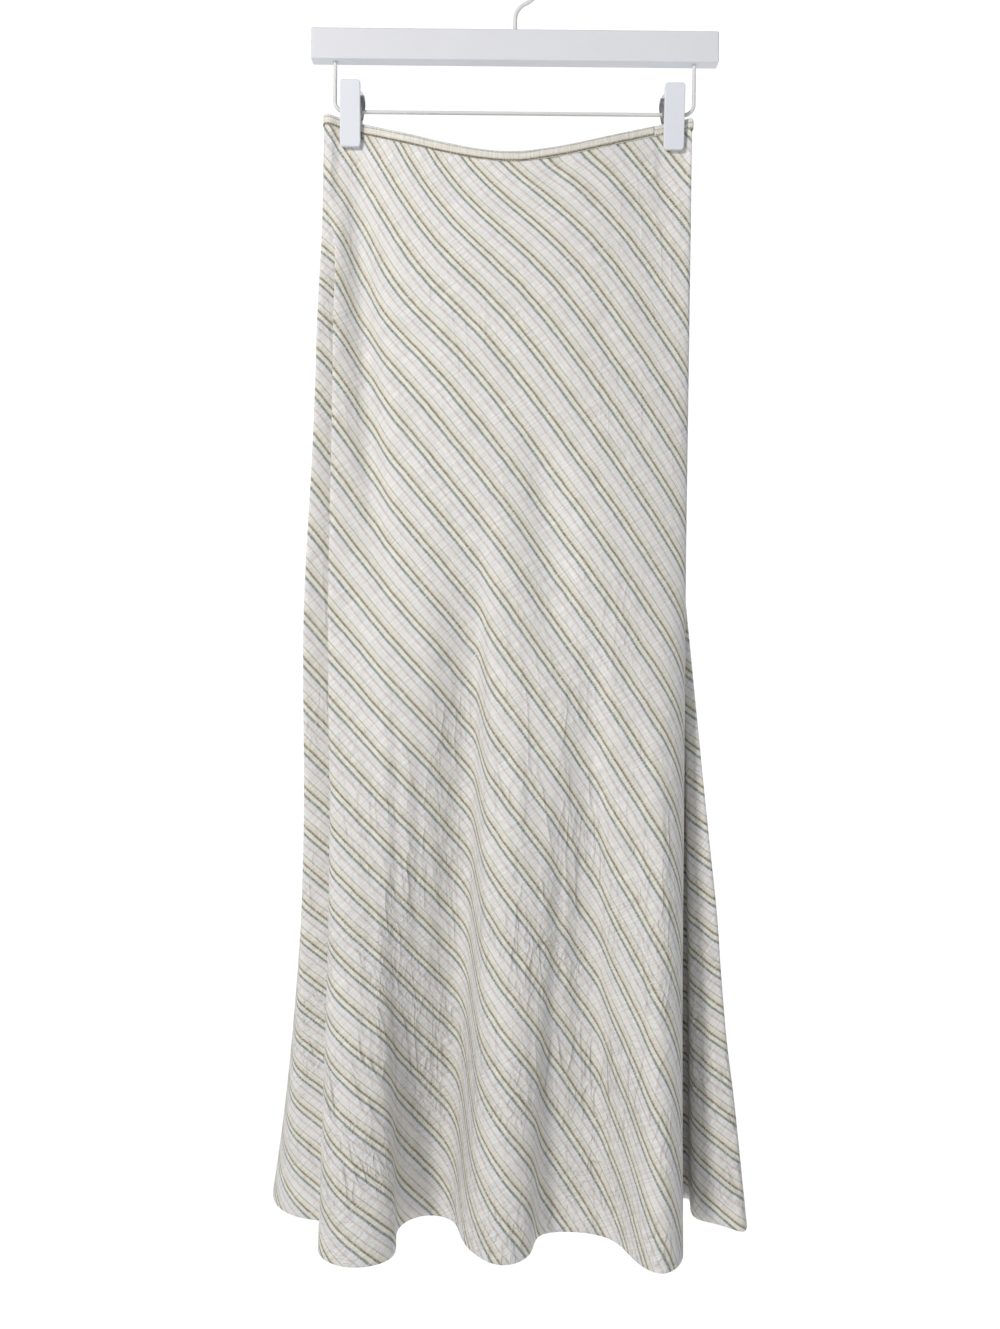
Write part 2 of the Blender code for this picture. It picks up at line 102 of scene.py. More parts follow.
BACK_FOLDS = (
    (153.2, -0.9, -5, 154, 20, 3, 0.42, 0.8),  # right seam, inside the recess
    (153.0, 1.0, -5, 157, 46, 4, 0.44, 0.8),
    (152.1, 2.5, -5, 168, 48, 4, 0.44, 0.8),
    (150.2, 3.3, -5, 167, 20, 3, 0.34, 0.9),  # right lobe
    (147.4, 2.6, -5, 187, 2, 4, 0.34, 0.9),
    (144.0, 1.8, -4, 207, -4, 2, 0.34, 0.9),
    (137.0, 1.5, -4, 213, 28, 2, 0.34, 1.0),
    (127.0, 2.0, -4, 207, 64, 2, 0.35, 1.1),
    (113.0, 5.5, -3, 179, 90, 0, 0.35, 1.2),  # first back fold
    (97.0, 9.5, 0, 152, 76, 1, 0.45, 1.3),
    (81.0, 13.0, 0, 130, 52, 2, 0.50, 1.3),
    (64.0, 16.5, 0, 107, 76, 1, 0.45, 1.3),
    (47.0, 19.0, 0, 82, 102, -1, 0.40, 1.3),  # second back fold
    (30.0, 21.0, 0, 55, 86, 0, 0.45, 1.3),
    (12.0, 22.0, 0, 33, 58, 2, 0.50, 1.3),
    (-6.0, 22.0, 0, 9, 76, 1, 0.45, 1.3),
    (-24.0, 21.5, 0, -19, 97, -1, 0.45, 1.3),  # third back fold
    (-41.0, 20.0, 0, -47, 80, 0, 0.45, 1.3),
    (-58.0, 18.0, 0, -69, 52, 2, 0.50, 1.3),
    (-76.0, 15.0, 0, -93, 74, 1, 0.45, 1.3),
    (-95.0, 10.5, 0, -119, 101, -1, 0.35, 1.3),  # fourth back fold
    (-115.0, 4.5, 0, -147, 92, 0, 0.40, 1.3),
    (-133.0, 1.6, -6, -168, 76, 2, 0.45, 1.3),
    (-147.0, 2.2, -9, -188, 88, 1, 0.10, 2.2),
    (-156.0, 4.2, -11, -204, 94, 2, 0.00, 3.0),
    (-161.4, 3.9, -9, -211, 88, 2, 0.00, 4.4),
)
TUCKS = {3: (22, 9), 4: (-1, -3)}  # the pleat behind the first fold: line, mm right, mm back
TUCK_START, TUCK_FULL = 0.06, 0.2
# Soft troughs in the front, in mm: from x, z to x, z, how wide to the left and to the right, and
# how deep. The last two columns are the shares of its length where each fades in and out.
GROOVES = (
    (-136, -165, -108, -600, 13, 13, 13, 0.25, 0.4),
    (26, -400, 38, -640, 20, 20, 8, 0.25, 0.4),
    (-25, -430, -38, -1085, 27, 9, 23, 0.4, 0.25),
    (68, -530, 82, -1085, 24, 10, 12, 0.45, 0.25),
)
GROOVES_BEGIN = 4  # the fold line where the front's creased part begins
SWELL, SWELL_Z, SWELL_HALF_HEIGHT, SWELL_REACH = 6 * MM, -570 * MM, 130 * MM, 22 * MM
STEPS = 9  # columns of cloth to each fold line
ROWS = 199
ROW_CROWDING = 1.08  # above 1, the rows lie closer together near the waist


def ease(value):
    """0 below 0, 1 above 1, and a smooth rise between."""
    t = np.clip(value, 0.0, 1.0)
    return t * t * (3.0 - 2.0 * t)


def fold_point(row, side, share, tuck=(0, 0)):
    """Where a fold line is at this share of the way from the waist to the hem."""
    line = dict(zip(FOLD_COLUMNS, row))
    waist_x, waist_y, drift, hem_x, hem_y, rise = (line[name] * MM for name in FOLD_COLUMNS[:6])
    across = abs((waist_x - WAIST_MIDDLE) / WAIST_HALF)
    plain_x = waist_x + drift
    plain_y = PLAIN_DEPTH[side] * math.sqrt(max(0.0, 1.0 - across**4))
    open_out = 1.0 - (1.0 - share) ** 2
    fold = (max(0.0, share - line["start"]) / (1.0 - line["start"])) ** line["power"]
    x = waist_x + (plain_x - waist_x) * share + (hem_x - plain_x) * fold
    y = waist_y + (plain_y - waist_y) * open_out + (hem_y - plain_y) * fold
    tucked = ease((share - TUCK_START) / (TUCK_FULL - TUCK_START)) * (1.0 - fold)
    x += tuck[0] * MM * tucked
    y += tuck[1] * MM * tucked
    sag = max(0.0, 1.0 - across**WAIST_DIP_WIDTH) ** WAIST_DIP_SOFTNESS
    top = WAIST_TOP - WAIST_DIP[side] * sag - BINDING_HEIGHT - SEAM_GAP
    return x, y, top + (HEM_Z + rise - top) * share


def closed_spline(points, steps):
    """Points along the smooth closed curve through the given ones, steps to each span."""
    count = len(points)
    shift = np.roll(np.eye(count), 1, axis=1)
    weights = (4.0 * np.eye(count) + shift + shift.T) / 6.0
    control = np.linalg.solve(weights, np.array(points))
    t = (np.arange(steps) / steps)[:, None]
    basis = ((1 - t) ** 3, 3 * t**3 - 6 * t**2 + 4, -3 * t**3 + 3 * t**2 + 3 * t + 1, t**3)
    spans = [
        sum(basis[k] / 6.0 * control[(i + k - 1) % count] for k in range(4)) for i in range(count)
    ]
    return np.vstack(spans)


def skirt_ring(share, steps):
    """The closed line of the cloth at this share of its length, pressed flat by the clips."""
    keys = [
        fold_point(row, "front", share, TUCKS.get(line, (0, 0)))
        for line, row in enumerate(FRONT_FOLDS)
    ]
    keys += [fold_point(row, "back", share) for row in BACK_FOLDS]
    ring = closed_spline(keys, steps)
    held = ease(1.0 - (PINCH_BOTTOM - ring[:, 2]) / PINCH_LENGTH)
    for clip_x in CLIP_X.values():
        away = np.abs(ring[:, 0] - clip_x) - PINCH_HALF_WIDTH
        weight = held * ease(1.0 - away / PINCH_FADE)
        ring[:, 1] += weight * (np.clip(ring[:, 1], -PINCH_Y, PINCH_Y) - ring[:, 1])
    lines = np.arange(len(ring)) / steps
    front = ease(lines - GROOVES_BEGIN) * (lines < len(FRONT_FOLDS))
    for *sizes, fade_in, fade_out in GROOVES:
        top_x, top_z, bottom_x, bottom_z, left, right, depth = (value * MM for value in sizes)
        along = (ring[:, 2] - top_z) / (bottom_z - top_z)
        across = ring[:, 0] - top_x - along * (bottom_x - top_x)
        across /= np.where(across < 0.0, left, right)
        fade = ease(along / fade_in) * ease((1.0 - along) / fade_out)
        ring[:, 1] += depth * fade * np.exp(-(across**2)) * front
    level = np.exp(-(((ring[:, 2] - SWELL_Z) / SWELL_HALF_HEIGHT) ** 2))
    from_edge = (ring[:, 0] - ring[:, 0].min()) / SWELL_REACH
    ring[:, 0] -= SWELL * level * np.exp(-(from_edge**2))
    return ring


def panel_points(first, last):
    """A panel's grid of points, rows from the waist to the hem, from one fold line to another."""
    shares = np.linspace(0.0, 1.0, ROWS) ** ROW_CROWDING
    rows = []
    for share in shares:
        ring = skirt_ring(share, STEPS)
        ring = np.vstack((ring, ring[:1]))
        rows.append(ring[first * STEPS : last * STEPS + 1])
    return np.array(rows)


def surface_normals(grid):
    """Outward normals of a grid of points whose rows run down and whose columns run round."""
    down, along = np.gradient(grid, axis=0), np.gradient(grid, axis=1)
    normal = np.cross(down, along)
    return normal / np.linalg.norm(normal, axis=2, keepdims=True)


# ---- Front and back panels: creases ----
# Soft troughs (negative) and ridges (positive) that hanging and handling leave in light cotton.
# Each runs from one place on the panel to another and fades towards its ends, in mm.
CREASE_COLUMNS = ("top_x", "top_z", "bottom_x", "bottom_z", "half_width", "height")
CREASE_FADE_IN, CREASE_FADE_OUT = 0.25, 0.4  # shares of a crease's length
WANDER_LEAST, WANDER_MOST = 0.15, 0.4  # how far a crease strays, in half widths
WANDER_RATE = 9.0
FRONT_CREASES = (
    (44, -176, 30, -205, 14, -2.6),
    (28, -186, 66, -214, 9, 1.6),
    (-104, -560, -100, -860, 5, 1.1),
    (-92, -600, -95, -900, 4, -1.2),
    (-83, -640, -86, -930, 5, 1.0),
    (-74, -660, -76, -880, 4, -1.0),
    (-112, -700, -116, -980, 6, -1.3),
    (-64, -700, -70, -980, 5, 0.9),
    (36, -690, 28, -960, 5, 1.2),
    (45, -720, 38, -1010, 5, -1.3),
    (54, -700, 49, -960, 4, 1.0),
    (62, -760, 60, -1020, 5, -1.2),
    (30, -840, 22, -1040, 4, 0.9),
    (8, -560, 4, -820, 7, 1.2),
    (-8, -640, -12, -940, 6, -1.0),
    (120, -640, 132, -900, 7, 1.2),
    (104, -700, 118, -1000, 6, -1.2),
    (-148, -640, -150, -1000, 5, -1.0),
    (-20, -300, 4, -400, 10, -1.2),
    (70, -280, 92, -380, 12, -1.2),
    (-60, -250, -52, -360, 12, 1.0),
)
BACK_CREASES = (
    (120, -165, 96, -560, 13, -6.0),
    (-128, -165, -100, -600, 13, -6.0),
    (10, -420, 16, -620, 15, -4.0),
    (-44, -182, -28, -212, 14, -2.4),
    (178, -700, 186, -930, 5, 1.3),
    (186, -760, 196, -1040, 5, -1.4),
    (176, -860, 180, -1060, 4, 1.2),
    (166, -800, 172, -1000, 5, -1.1),
    (88, -600, 92, -900, 6, 1.2),
    (74, -660, 84, -960, 5, -1.2),
    (60, -700, 66, -980, 5, 1.0),
    (30, -640, 36, -940, 6, -1.2),
    (-10, -600, -8, -900, 6, 1.1),
    (-34, -700, -36, -1000, 5, -1.1),
    (-62, -640, -70, -960, 5, 1.2),
    (-90, -620, -104, -980, 6, -1.2),
    (-120, -660, -138, -1000, 5, 1.1),
    (50, -300, 40, -420, 12, 1.2),
    (-50, -320, -44, -440, 12, -1.2),
)


def add_creases(grid, table, wander_seed):
    """Moves the cloth in or out along its normals at each crease in the table."""
    rng = np.random.default_rng(wander_seed)
    height = np.zeros(grid.shape[:2])
    for row in table:
        mark = dict(zip(CREASE_COLUMNS, np.array(row, float) * MM))
        along = (grid[..., 2] - mark["top_z"]) / (mark["bottom_z"] - mark["top_z"])
        phase, size = rng.uniform(0, 2 * math.pi), rng.uniform(WANDER_LEAST, WANDER_MOST)
        wander = size * mark["half_width"] * np.sin(WANDER_RATE * along + phase)
        middle = mark["top_x"] + along * (mark["bottom_x"] - mark["top_x"]) + wander
        across = (grid[..., 0] - middle) / mark["half_width"]
        fade = ease(along / CREASE_FADE_IN) * ease((1.0 - along) / CREASE_FADE_OUT)
        height += mark["height"] * fade * np.exp(-(across**2))
    return grid + surface_normals(grid) * height[..., None]


# ---- Front and back panels: the flat cut ----
# Each panel is cut from flat cloth on the bias. The hanging panel is laid flat again here, to
# find where every thread of the cloth runs, and how large the cut is.


def cosine_table(count):
    """The cosine waves that fit a line of so many points, and how stiff the line is to each."""
    places = np.arange(count)
    table = np.cos(math.pi * places[:, None] * (places[None, :] + 0.5) / count)
    table *= math.sqrt(2.0 / count)
    table[0] /= math.sqrt(2.0)
    return table, 2.0 - 2.0 * np.cos(math.pi * places / count)


def lay_flat(grid, rounds=60):
    """The flat pattern of a grid of points: every cell turned, none stretched more than it must."""
    rows, columns = grid.shape[:2]
    step_along, step_down = np.diff(grid, axis=1), np.diff(grid, axis=0)
    cell_along = (step_along[:-1] + step_along[1:]) / 2
    cell_down = (step_down[:, :-1] + step_down[:, 1:]) / 2
    width = np.linalg.norm(cell_along, axis=2)
    lean = (cell_along * cell_down).sum(axis=2) / width
    drop = np.sqrt(np.maximum((cell_down**2).sum(axis=2) - lean**2, 0.0))
    own_along = width + 0.0j
    own_down = lean - 1.0j * drop
    row_cosines, row_values = cosine_table(rows)
    column_cosines, column_values = cosine_table(columns)
    values = row_values[:, None] + column_values[None, :]
    values[0, 0] = 1.0
    turn = np.ones((rows - 1, columns - 1), complex)
    for _ in range(rounds):
        wanted_along, wanted_down = own_along * turn, own_down * turn
        along = np.zeros((rows, columns - 1), complex)
        along[:-1] += wanted_along
        along[1:] += wanted_along
        along[1:-1] /= 2
        down = np.zeros((rows - 1, columns), complex)
        down[:, :-1] += wanted_down
        down[:, 1:] += wanted_down
        down[:, 1:-1] /= 2
        spread = np.zeros((rows, columns), complex)
        spread[:, :-1] -= along
        spread[:, 1:] += along
        spread[:-1] -= down
        spread[1:] += down
        waves = (row_cosines @ spread @ column_cosines.T) / values
        flat = row_cosines.T @ waves @ column_cosines
        flat_along = (np.diff(flat[:-1], axis=1) + np.diff(flat[1:], axis=1)) / 2
        flat_down = (np.diff(flat[:, :-1], axis=0) + np.diff(flat[:, 1:], axis=0)) / 2
        turn = flat_along * own_along.conj() + flat_down * own_down.conj()
        turn /= np.abs(turn)
    upright = (flat[-1] - flat[0]).mean()
    return (flat - flat[0].mean()) * (-1.0j * abs(upright) / upright)


# Bias-cut cloth is drawn out of line by its own weight. Each row is a place on the front where
# the stripes have crept: centre x and z, reach, and how far they have crept, in mm.
CREEPS = (
    (-10, -150, 92, 28),
    (-92, -300, 55, 6),
    (-70, -230, 75, 5),
    (0, -1250, 450, -60),
)


def crept(grid, flat, angle):
    """The flat pattern with its threads shifted across the stripes where the cloth has crept."""
    shift = np.zeros(flat.shape)
    for row in CREEPS:
        x, z, reach, size = (value * MM for value in row)
        away = ((grid[..., 0] - x) ** 2 + (grid[..., 2] - z) ** 2) / reach**2
        shift += size * np.exp(-away)
    across = complex(math.sin(math.radians(angle)), math.cos(math.radians(angle)))
    return flat + shift * across


# ---- Front and back panels: striped cotton ----
# Plain-woven light cotton with yarn-dyed stripes. The stripes run with the warp; pale weft
# yarns cross them, so the dark ones look broken, and slubs show as short lighter threads.
REPEAT = 25.2 * MM
STRIPES = (  # share of the repeat where each colour starts, and the colour
    (0.000, (0.190, 0.215, 0.170)),
    (0.026, (0.215, 0.235, 0.190)),
    (0.044, (0.660, 0.665, 0.610)),
    (0.100, (0.735, 0.735, 0.680)),
    (0.160, (0.700, 0.685, 0.625)),
    (0.173, (0.210, 0.190, 0.120)),
    (0.232, (0.240, 0.215, 0.140)),
    (0.247, (0.570, 0.535, 0.460)),
    (0.290, (0.685, 0.655, 0.600)),
    (0.410, (0.730, 0.705, 0.650)),
    (0.430, (0.400, 0.410, 0.355)),
    (0.452, (0.420, 0.430, 0.375)),
    (0.470, (0.720, 0.712, 0.690)),
    (0.600, (0.735, 0.730, 0.752)),
    (0.690, (0.740, 0.720, 0.725)),
    (0.722, (0.560, 0.505, 0.480)),
    (0.762, (0.580, 0.530, 0.510)),
    (0.792, (0.705, 0.702, 0.735)),
    (0.940, (0.685, 0.700, 0.750)),
    (0.958, (0.230, 0.245, 0.210)),
)
THREAD = 0.55 * MM
PALE_WEFT = (0.745, 0.735, 0.705, 1.0)


class Tree:
    """Adds nodes to a tree and links them, one call to each node."""

    def __init__(self, tree):
        self.tree = tree

    def add(self, kind, inputs=(), **settings):
        """A new node, with each named input either linked or set to a value."""
        node = self.tree.nodes.new(kind)
        for name, value in settings.items():
            setattr(node, name, value)
        for name, value in dict(inputs).items():
            if hasattr(value, "is_output"):
                self.tree.links.new(value, node.inputs[name])
            else:
                node.inputs[name].default_value = value
        return node

    def sum(self, operation, first, second=0.0, third=0.0):
        """The result of one arithmetic step on numbers or links."""
        inputs = {0: first, 1: second, 2: third}
        return self.add("ShaderNodeMath", inputs, operation=operation).outputs[0]

    def blend(self, amount, first, second, how="MIX"):
        """One colour laid over another by an amount."""
        inputs = {0: amount, 6: first, 7: second}
        mix = self.add("ShaderNodeMix", inputs, data_type="RGBA", blend_type=how)
        return mix.outputs[2]


def new_group(name, inputs, outputs):
    """A shader node group with named sockets, and its input and output nodes."""
    group = bpy.data.node_groups.new(name, "ShaderNodeTree")
    for socket, kind, value in inputs:
        made = group.interface.new_socket(socket, in_out="INPUT", socket_type=kind)
        if value is not None:
            made.default_value = value
    for socket, kind in outputs:
        group.interface.new_socket(socket, in_out="OUTPUT", socket_type=kind)
    tree = Tree(group)
    return tree, tree.add("NodeGroupInput").outputs, tree.add("NodeGroupOutput")


weave, given, result = new_group(
    "plain_weave",
    (("Place", "NodeSocketVector", None), ("Colour", "NodeSocketColor", (1, 1, 1, 1))),
    (("Colour", "NodeSocketColor"), ("Height", "NodeSocketFloat")),
)
split = weave.add("ShaderNodeSeparateXYZ", {0: given["Place"]}).outputs
warp = weave.sum("SINE", weave.sum("MULTIPLY", split[0], 2 * math.pi / THREAD))
weft = weave.sum("SINE", weave.sum("MULTIPLY", split[1], 2 * math.pi / THREAD))
over = weave.sum("MULTIPLY", warp, weft)


def yarns(across, along, detail, seed):
    """Noise drawn out along yarns: how fine it is across them and along them, per metre."""
    finer_across = weave.sum("MULTIPLY", split[0], across)
    finer_along = weave.sum("MULTIPLY", split[1], along)
    place = weave.add("ShaderNodeCombineXYZ", {0: finer_across, 1: finer_along, 2: seed})
    inputs = {"Vector": place.outputs[0], "Scale": 1.0, "Detail": detail}
    return weave.add("ShaderNodeTexNoise", inputs).outputs[0]


warp_streaks = yarns(800.0, 28.0, 3.0, 0.0)
weft_streaks = yarns(34.0, 620.0, 3.0, 7.0)
dashes = yarns(500.0, 900.0, 2.0, 3.0)
slubs = yarns(75.0, 650.0, 3.0, 11.0)
dashed = weave.sum("MULTIPLY_ADD", dashes, 3.2, -1.35)
dashed = weave.add("ShaderNodeClamp", {0: weave.sum("MULTIPLY_ADD", over, 0.10, dashed)})
slubbed = weave.add("ShaderNodeClamp", {0: weave.sum("MULTIPLY_ADD", slubs, 9.0, -5.35)})
dash_share = weave.sum("MULTIPLY", dashed.outputs[0], 0.62)
slub_share = weave.sum("MULTIPLY", slubbed.outputs[0], 0.8)
pale = weave.sum("MAXIMUM", dash_share, slub_share)
crossed = weave.blend(pale, given["Colour"], PALE_WEFT)
streaks = weave.sum("MULTIPLY_ADD", warp_streaks, 0.40, 0.80)
streaks = weave.sum("MULTIPLY", streaks, weave.sum("MULTIPLY_ADD", weft_streaks, 0.56, 0.72))
streak_grey = weave.add("ShaderNodeCombineColor", {0: streaks, 1: streaks, 2: streaks})
shown = weave.blend(1.0, crossed, streak_grey.outputs[0], "MULTIPLY")
weave.tree.links.new(shown, result.inputs["Colour"])
lift = weave.sum("MULTIPLY_ADD", weft_streaks, 0.9, weave.sum("MULTIPLY", over, 0.25))
lift = weave.sum("MULTIPLY_ADD", warp_streaks, 0.9, lift)
weave.tree.links.new(lift, result.inputs["Height"])

# The fine sharp creases of worn cotton: thin ridges, mostly along the fall of the cloth, that come
# and go in patches and grow towards the hem. The place is the flat cut, in metres from the waist.
RIDGES = (  # ridges per metre, how far drawn out, sharpness, patches per metre, seed
    (62.0, 0.20, 7.0, 7.0, 0.0),
    (120.0, 0.45, 6.0, 11.0, 5.0),
    (95.0, 1.60, 9.0, 9.0, 9.0),
)
SECOND_RIDGES, THIRD_RIDGES = 0.6, 0.25  # their heights, as shares of the first
SMALL_FROM, FULL_FROM, SMALL, FULL = -0.30, -0.85, 0.25, 1.0
crumple, given, result = new_group(
    "fine_creases", (("Place", "NodeSocketVector", None),), (("Height", "NodeSocketFloat"),)
)
split = crumple.add("ShaderNodeSeparateXYZ", {0: given["Place"]}).outputs
lower = crumple.add(
    "ShaderNodeMapRange",
    {0: split[1], 1: SMALL_FROM, 2: FULL_FROM, 3: SMALL, 4: FULL},
    interpolation_type="SMOOTHSTEP",
).outputs[0]
heights = []
for scale, squash, sharpness, patch_scale, seed in RIDGES:
    drawn = crumple.add("ShaderNodeMapping", {"Vector": given["Place"], "Scale": (1.0, squash, 1.0)})
    drawn.inputs["Location"].default_value = (seed, seed, seed)
    grain = crumple.add(
        "ShaderNodeTexNoise",
        {"Vector": drawn.outputs[0], "Scale": scale, "Detail": 1.5, "Distortion": 0.4},
    ).outputs[0]
    from_line = crumple.sum("ABSOLUTE", crumple.sum("MULTIPLY_ADD", grain, 2.0, -1.0))
    ridge = crumple.sum("POWER", crumple.sum("SUBTRACT", 1.0, from_line), sharpness)
    place = crumple.add("ShaderNodeMapping", {"Vector": given["Place"]})
    place.inputs["Location"].default_value = (seed + 2, seed, 0.0)
    patch = crumple.add(
        "ShaderNodeTexNoise", {"Vector": place.outputs[0], "Scale": patch_scale, "Detail": 1.0}
    ).outputs[0]
    mask = crumple.add("ShaderNodeClamp", {0: crumple.sum("MULTIPLY_ADD", patch, 5.0, -1.9)})
    heights.append(crumple.sum("MULTIPLY", ridge, mask.outputs[0]))
total = crumple.sum("MULTIPLY", heights[2], THIRD_RIDGES)
total = crumple.sum("MULTIPLY_ADD", heights[1], SECOND_RIDGES, total)
total = crumple.sum("ADD", heights[0], total)
crumple.tree.links.new(crumple.sum("MULTIPLY", total, lower), result.inputs["Height"])


def striped_cotton(name, angle, phase):
    """The cloth's material: stripes at an angle below the level, shifted by a share of a repeat."""
    material = bpy.data.materials.new(name)
    material.use_nodes = True
    tree = Tree(material.node_tree)
    shader = material.node_tree.nodes["Principled BSDF"]
    place = tree.add("ShaderNodeUVMap", uv_map="cut").outputs[0]
    turn = (0.0, 0.0, math.radians(angle) - math.pi / 2)
    turned = tree.add("ShaderNodeMapping", {"Vector": place, "Rotation": turn}).outputs[0]
    wobble = tree.add("ShaderNodeTexNoise", {"Vector": turned, "Scale": 55.0, "Detail": 3.0})
    across = tree.add("ShaderNodeSeparateXYZ", {0: turned}).outputs[0]
    across = tree.sum("MULTIPLY_ADD", wobble.outputs[0], 1.5 * MM, across)
    share = tree.sum("FRACT", tree.sum("MULTIPLY_ADD", across, 1.0 / REPEAT, phase))
    stripes = tree.add("ShaderNodeValToRGB", {0: share})
    ramp = stripes.color_ramp
    for _ in range(len(STRIPES) - 2):
        ramp.elements.new(0.5)
    for element, (start, colour) in zip(ramp.elements, STRIPES):
        element.position = start
        element.color = (*colour, 1.0)
    ramp.interpolation = "LINEAR"
    woven = tree.add("ShaderNodeGroup", {}, node_tree=weave.tree)
    tree.tree.links.new(turned, woven.inputs["Place"])
    tree.tree.links.new(stripes.outputs[0], woven.inputs["Colour"])
    tree.tree.links.new(woven.outputs["Colour"], shader.inputs["Base Color"])
    drawn = tree.add("ShaderNodeMapping", {"Vector": place, "Scale": (1.0, 0.35, 1.0)}).outputs[0]
    swells = tree.add(
        "ShaderNodeTexNoise",
        {"Vector": drawn, "Scale": 110.0, "Detail": 4.0, "Roughness": 0.6},
    ).outputs[0]
    broad = tree.add(
        "ShaderNodeBump", {"Strength": 0.3, "Distance": 1.4 * MM, "Height": swells}
    ).outputs[0]
    creased = tree.add("ShaderNodeGroup", {}, node_tree=crumple.tree)
    tree.tree.links.new(place, creased.inputs["Place"])
    soft = tree.add(
        "ShaderNodeBump",
        {"Strength": 1.0, "Distance": 1.8 * MM, "Height": creased.outputs[0], "Normal": broad},
    ).outputs[0]
    fine = tree.add(
        "ShaderNodeBump",
        {"Strength": 0.4, "Distance": 0.25 * MM, "Height": woven.outputs["Height"], "Normal": soft},
    ).outputs[0]
    tree.tree.links.new(fine, shader.inputs["Normal"])
    shader.inputs["Roughness"].default_value = 0.88
    shader.inputs["Specular IOR Level"].default_value = 0.25
    shader.inputs["Sheen Weight"].default_value = 0.15
    shader.inputs["Sheen Roughness"].default_value = 0.5
    return material


# ---- Front and back panels: hung, seamed and hemmed ----
# Each is one bias-cut piece from the waist seam to the hem, a thin shell of cloth. Its top edge
# goes up inside the binding, and its hem is turned up once on the inside.
CLOTH = 0.7 * MM
STRIPE_ANGLE = {"front_panel": 53.0, "back_panel": 53.0}
STRIPE_PHASE = {"front_panel": 0.25, "back_panel": 0.4}
INTO_BINDING = 3.5 * MM
HEM_ROWS = 3  # how many rows of the panel the turned layer covers
HEM_STEP = 0.86 * MM  # from the middle of the panel to the middle of the turned layer
HALF_FOLD = 0.7  # how far the cloth runs to the middle of the hem's fold, in hem steps
SEAM_PULL, SEAM_REACH = 0.6 * MM, 1.4 * MM


def pull_seams(grid):
    """Draws a panel's side edges in a little, where the thread of the seam holds them."""
    pull = np.zeros(grid.shape[:2])
    for edge in (0, -1):
        away = np.linalg.norm(grid - grid[:, edge : edge + 1 or None][:, :1], axis=2)
        pull += SEAM_PULL * np.exp(-((away / SEAM_REACH) ** 2))
    return grid - surface_normals(grid) * pull[..., None]


def turn_edges(grid, flat):
    """Adds the row inside the binding, and the hem's fold and turned layer, to a panel."""
    inward = -surface_normals(grid)[-1 : -HEM_ROWS - 2 : -1]
    down = grid[-1] - grid[-2]
    down /= np.linalg.norm(down, axis=1, keepdims=True)
    fold = grid[-1] + inward[0] * HEM_STEP / 2 + down * HEM_STEP / 2
    turned = grid[-1 : -HEM_ROWS - 2 : -1] + inward * HEM_STEP
    top = grid[0] + np.array((0.0, 0.0, INTO_BINDING))
    whole = np.concatenate((top[None], grid, fold[None], turned))
    past_fold = flat[-1] - 1.0j * HALF_FOLD * HEM_STEP
    past_turn = 2 * flat[-1] - flat[-1 : -HEM_ROWS - 2 : -1] - 2.0j * HALF_FOLD * HEM_STEP
    pattern = np.concatenate((flat[:1] + 1.0j * INTO_BINDING, flat, past_fold[None], past_turn))
    return whole, pattern


def cloth_mesh(name, grid, pattern, thickness, material):
    """A thin shell through a grid of points, with the flat pattern as its UV map."""
    rows, columns = grid.shape[:2]
    index = np.arange(rows * columns).reshape(rows, columns)
    quads = np.stack((index[:-1, :-1], index[1:, :-1], index[1:, 1:], index[:-1, 1:]), axis=-1)
    mesh = bpy.data.meshes.new(name)
    mesh.from_pydata(grid.reshape(-1, 3).tolist(), [], quads.reshape(-1, 4).tolist())
    layer = mesh.uv_layers.new(name="cut")
    corners = np.zeros(len(mesh.loops), np.int32)
    mesh.loops.foreach_get("vertex_index", corners)
    places = np.column_stack((pattern.real.ravel(), pattern.imag.ravel()))[corners]
    layer.data.foreach_set("uv", places.ravel().astype(np.float32))
    mesh.shade_smooth()
    item = bpy.data.objects.new(name, mesh)
    bpy.context.scene.collection.objects.link(item)
    mesh.materials.append(material)
    wall = item.modifiers.new("thickness", "SOLIDIFY")
    wall.thickness = thickness
    wall.offset = 0.0
    return item


def flat_area(pattern):
    """The area of a flat pattern, from the cross product of each cell's sides."""
    along, down = np.diff(pattern, axis=1)[:-1], np.diff(pattern, axis=0)[:, :-1]
    return float(np.abs((along.conj() * down).imag).sum())


seam = len(FRONT_FOLDS)
full = seam + len(BACK_FOLDS)
hems = {}
for name, first, last, creases in (
    ("front_panel", 0, seam, FRONT_CREASES),
    ("back_panel", seam, full, BACK_CREASES),
):
    smooth = panel_points(first, last)
    flat = lay_flat(smooth)
    if name == "front_panel":
        flat = crept(smooth, flat, STRIPE_ANGLE[name])
    grid = pull_seams(add_creases(smooth, creases, wander_seed=first + 3))
    whole, pattern = turn_edges(grid, flat)
    material = striped_cotton(f"striped_cotton_{name}", STRIPE_ANGLE[name], STRIPE_PHASE[name])
    panel = cloth_mesh(f"{name}_cloth", whole, pattern, CLOTH, material)
    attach(panel, "root")
    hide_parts(name)
    width = float(np.abs(np.diff(flat[-1])).sum())
    length = float(np.abs(np.diff(pattern, axis=0)).sum(axis=0).mean())
    hems[name] = (panel, whole, (width, length), flat_area(pattern))

